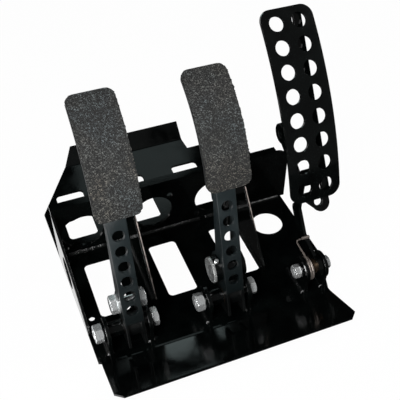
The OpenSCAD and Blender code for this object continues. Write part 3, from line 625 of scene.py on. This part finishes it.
padPlate = dict(width=45.0, length=117.0, corner=8.0, face=-1.2, back=-5.2, cell=2.0, grain=0.0, ragged=0.0)
gripTape = dict(width=44.6, length=116.6, corner=8.0, face=-0.15, back=-1.19, cell=0.6, grain=0.13, ragged=0.35)
padGrain = dict(soften=2, deepest=-0.5, highest=0.3, edgeBand=0.97)
padPlaces = dict(clutch=-92.7, brake=14.3)


def padSheet(name, x, s, node):
    # sheet on the pad's arc: the angle runs up the pad, the width narrows round the corners, grains lift the face
    tilt, radius, low = padCurve["tilt"], padCurve["radius"], padCurve["low"]
    half = math.asin(s["length"] / 2 / radius)
    rows, columns = int(s["length"] / s["cell"]), int(s["width"] / s["cell"])
    angle = np.linspace(tilt - half, tilt + half, rows)
    up = np.sin(angle - tilt) * radius + s["length"] / 2
    inset = np.clip(s["corner"] - np.minimum(up, s["length"] - up), 0, s["corner"])
    halfWidth = s["width"] / 2 - s["corner"] + np.sqrt(s["corner"] ** 2 - inset ** 2)
    rag = smoothNoise((rows, 2), padGrain["soften"]) * s["ragged"]
    across = np.linspace(-1, 1, columns)[None, :]
    ragged = np.where(across > 0, rag[:, :1], rag[:, 1:]) * (np.abs(across) > padGrain["edgeBand"])
    sideways = x + across * (halfWidth[:, None] + ragged)
    edge = np.ones((rows, columns))
    edge[[0, -1], :] = 0
    edge[:, [0, -1]] = 0
    grains = smoothNoise((rows, columns), padGrain["soften"]) * s["grain"]
    lift = np.clip(grains, padGrain["deepest"], padGrain["highest"]) * edge
    reach, drop = padCurve["length"] / 2, radius - padSag
    centreY = pivotLine["y"] + low[0] + reach * math.sin(tilt) + drop * math.cos(tilt)
    centreZ = pivotLine["z"] + low[1] + reach * math.cos(tilt) - drop * math.sin(tilt)
    sine, cosine = np.sin(angle)[:, None], np.cos(angle)[:, None]
    top, bottom = (np.stack([sideways, centreY - r * cosine, centreZ + r * sine], -1)
                   for r in (radius + s["face"] + lift, np.full((rows, columns), radius + s["back"])))
    rim = [np.stack([top[at], bottom[at]]) for at in (0, -1)]
    rim += [np.stack([top[:, at], bottom[:, at]]) for at in (0, -1)]
    parts = [(a.reshape(-1, 3) * mm, gridQuads(a.shape[0], a.shape[1], False)) for a in (top, bottom, *rim)]
    nodePiece(name, parts, node, angle=60)


for pedal, x in padPlaces.items():
    padSheet(pedal + "Pad", x, padPlate, pedal + "_pad")
    padSheet(pedal + "Grip", x, gripTape, pedal + "_grip")
print("pads and grips made")

weld = dict(ripple=2.4, depth=0.14, mean=0.6, sway=0.05, swayRate=1.7, step=0.5, fewest=10, taper=1.6, around=9,
            waist=0.78, bulge=0.1, toe=0.22, under=((-0.12, 0.4), (-0.12, -0.12), (0.4, -0.12)))


def weldBead(a, b, up, out, size):
    # fillet from a to b: a quarter round between the up and out directions, with ripples along it
    a, b, up, out = (np.array(v, float) for v in (a, b, up, out))
    span = np.linalg.norm(b - a)
    along = np.linspace(0, 1, max(weld["fewest"], int(span / weld["step"])))
    phase = along * span / weld["ripple"]
    ripple = weld["depth"] * (np.abs(np.sin(np.pi * phase)) - weld["mean"])
    swell = 1 + ripple + weld["sway"] * np.sin(phase * weld["swayRate"] + a[0])
    taper = np.sqrt(np.clip(np.minimum(along, 1 - along) * span / weld["taper"], 0, 1)) * size * swell
    turn = np.linspace(0, np.pi / 2, weld["around"])
    reach = weld["waist"] + weld["bulge"] * np.sin(2 * turn)
    arc = np.stack([np.cos(turn) * reach, np.sin(turn) * reach], -1)
    arc[[0, -1], [0, 1]] += weld["toe"]  # both toes run out flat
    loop = np.concatenate([arc, weld["under"]])
    section = loop[None, :, :1] * out + loop[None, :, 1:] * up
    points = a + along[:, None, None] * (b - a) + taper[:, None, None] * section
    return points.reshape(-1, 3) * mm, gridQuads(len(along), len(loop), True)


welds = dict(deck=3.02, riser=7.98, ears=(-126.0, -83.0, -19.0, 24.0, 92.0, 114.0), earT=4.0, earY=(-139.5, -100.0),
             earSize=2.6, gussets=((-62.5, 2.4), (65.5, 1.7)), gussetT=3.0, gussetY=(-90.0, 6.0), gussetZ=(8.0, 72.0),
             uprightSize=2.2, sideX=-136.0, sideY=(-100.0, 6.0), size=2.4,
             riserRuns=((-134, -88), (-84, -64), (-57, 30), (35, 62), (71, 134)))
deck, riser, size = welds["deck"], welds["riser"], welds["size"]
toLeft, toRight, toFront, toTop = (-1, 0, 0), (1, 0, 0), (0, -1, 0), (0, 0, 1)
beads = []
for left in welds["ears"]:
    for x, out in ((left, toLeft), (left + welds["earT"], toRight)):
        beads.append(weldBead(*((x, y, deck) for y in welds["earY"]), toTop, out, welds["earSize"]))
for left, leftSize in welds["gussets"]:
    sides = ((left, toLeft, leftSize), (left + welds["gussetT"], toRight, size))
    for x, out, sideSize in sides:
        beads.append(weldBead(*((x, y, deck) for y in welds["gussetY"]), toTop, out, sideSize))
    for x, out, sideSize in sides:
        beads.append(weldBead(*((x, riser, z) for z in welds["gussetZ"]), out, toFront, welds["uprightSize"]))
sideEnds = ((welds["sideX"] + edgeShift(y), y, deck) for y in welds["sideY"])
beads.append(weldBead(*sideEnds, toTop, toRight, size))
for run in welds["riserRuns"]:
    beads.append(weldBead(*((x, riser, deck) for x in run), toTop, toFront, size))
meshPiece("weldBeads", beads, weldCoat, "chassis", angle=50)
print("weld beads made:", len(beads))


def aimAt(thing, where, aim):
    thing.location = where
    thing.rotation_euler = (Vector(aim) - Vector(where)).to_track_quat("-Z", "Y").to_euler()


studio = dict(eye=(-0.1821, -0.5289, 0.5905), aim=(0.042, 0.040, 0.0), lens=61.2, sensor=36.0, near=0.01, fill=0.06,
              dimToward=(0.264, 0.669, 0.695), dimRange=(0.60, 0.86, 0.10, 0.001))
camera = bpy.data.objects.new("photoCamera", bpy.data.cameras.new("photoCamera"))
scene.collection.objects.link(camera)
camera.data.lens = studio["lens"]
camera.data.sensor_width = studio["sensor"]
camera.data.clip_start = studio["near"]
aimAt(camera, studio["eye"], studio["aim"])
scene.camera = camera


fullWhite = (1.0, 1.0, 1.0)
mattWhite = (0.9, 0.9, 0.9)


def whiteToView(name, seen, fade, tint=fullWhite, clear=False):
    # white to the camera, its own level in reflections and matt white to the rest of the light;
    # or clear to all but reflections
    material = bpy.data.materials.new(name)
    material.use_nodes = True
    tree = material.node_tree
    tree.nodes.clear()
    out = tree.nodes.new("ShaderNodeOutputMaterial")
    path = tree.nodes.new("ShaderNodeLightPath").outputs
    matt = tree.nodes.new("ShaderNodeBsdfTransparent" if clear else "ShaderNodeBsdfDiffuse")
    feed(tree, fullWhite if clear else mattWhite, matt.inputs["Color"])
    view = tree.nodes.new("ShaderNodeBsdfTransparent" if clear else "ShaderNodeEmission")
    mirror = tree.nodes.new("ShaderNodeEmission")
    feed(tree, tint, mirror.inputs["Color"])
    # this level in reflections is painted light
    axis, *span = fade  # the level in reflections runs from one value to another along this axis
    place = placeOf(tree, tree.nodes.new("ShaderNodeTexCoord").outputs["Object"])
    feed(tree, rangeNode(tree, place[axis], *span), mirror.inputs["Strength"])
    last = matt.outputs[0]
    for factor, shader in ((path["Is Glossy Ray"], mirror), (timesNode(tree, path["Is Camera Ray"], seen), view)):
        mix = tree.nodes.new("ShaderNodeMixShader")
        for socket, value in zip(mix.inputs, (factor, last, shader.outputs[0])):
            feed(tree, value, socket)
        last = mix.outputs[0]
    feed(tree, last, out.inputs["Surface"])
    return material


def stagePlane(name, corners, material):
    mesh = bpy.data.meshes.new(name)
    mesh.from_pydata(corners, [], [(0, 1, 2, 3)])
    mesh.materials.append(material)
    plane = bpy.data.objects.new(name, mesh)
    scene.collection.objects.link(plane)


# painted light: in reflections the floor shines only left of x = -0.1395 m, as if lit from the left, and is nearly
# dark elsewhere
stage = dict(half=6, seen=0.97, paintedFloorLight=("X", -0.1395, -0.1365, 1.0, 0.02), backY=0.80, backTop=0.82, backLeft=0.0,
             backRight=0.235, backFoot=0.001, highRight=0.31, highFoot=0.535, cardGlowFade=("Z", 0.15, 0.45, 1.0, 0.42),
             cardGlowTint=(0.82, 1.0, 1.0))
half, away, top = stage["half"], stage["backY"], stage["backTop"]
whitePaper = whiteToView("whitePaper", stage["seen"], stage["paintedFloorLight"])
# painted reflection: cards clear to the camera that glow pale cyan in reflections only, dimmer towards the top
reflectionCardGlow = whiteToView("reflectionCardGlow", 1.0, stage["cardGlowFade"], stage["cardGlowTint"], clear=True)
stagePlane("paleFloor", [(-half, -half, 0), (half, -half, 0), (half, half, 0), (-half, half, 0)], whitePaper)
for name, left, right, foot in (("reflectionCard", stage["backLeft"], stage["backRight"], stage["backFoot"]),
                                ("reflectionCardHigh", stage["backRight"], stage["highRight"], stage["highFoot"])):
    corners = [(left, away, foot), (right, away, foot), (right, away, top), (left, away, top)]
    stagePlane(name, corners, reflectionCardGlow)

# world: white to the camera, a plain fill for matt surfaces; reflections are dim about one direction
# and lighter round it
world = bpy.data.worlds.new("studioWorld")
scene.world = world
world.use_nodes = True
tree = world.node_tree
back = tree.nodes["Background"]
feed(tree, fullWhite, back.inputs["Color"])
path = tree.nodes.new("ShaderNodeLightPath").outputs
around = tree.nodes.new("ShaderNodeTexCoord").outputs["Generated"]
toward = vectorNode(tree, "DOT_PRODUCT", around, studio["dimToward"])["Value"]
dimmed = rangeNode(tree, toward, *studio["dimRange"])
inGloss = mixNode(tree, "FLOAT", path["Is Glossy Ray"], studio["fill"], dimmed)
feed(tree, mixNode(tree, "FLOAT", path["Is Camera Ray"], inGloss, 1.0), back.inputs["Strength"])

lamps = dict(keyLight=dict(where=(-0.9, -0.9, 1.5), aim=(0, 0, 0.05), size=(0.9, 0.9), power=24.0),
             lowLight=dict(where=(-1.0, -1.1, 0.45), aim=(0, -0.05, 0.05), size=(0.7, 0.5), power=17.0),
             rightLight=dict(where=(1.3, -0.2, 1.1), aim=(0, 0, 0.05), size=(0.6, 0.9), power=10.0))
for name, s in lamps.items():
    light = bpy.data.lights.new(name, "AREA")
    light.shape = "RECTANGLE"
    light.size, light.size_y = s["size"]
    light.energy = s["power"]
    lamp = bpy.data.objects.new(name, light)
    scene.collection.objects.link(lamp)
    aimAt(lamp, s["where"], s["aim"])
scene.view_settings.view_transform = "Standard"
print("studio set")
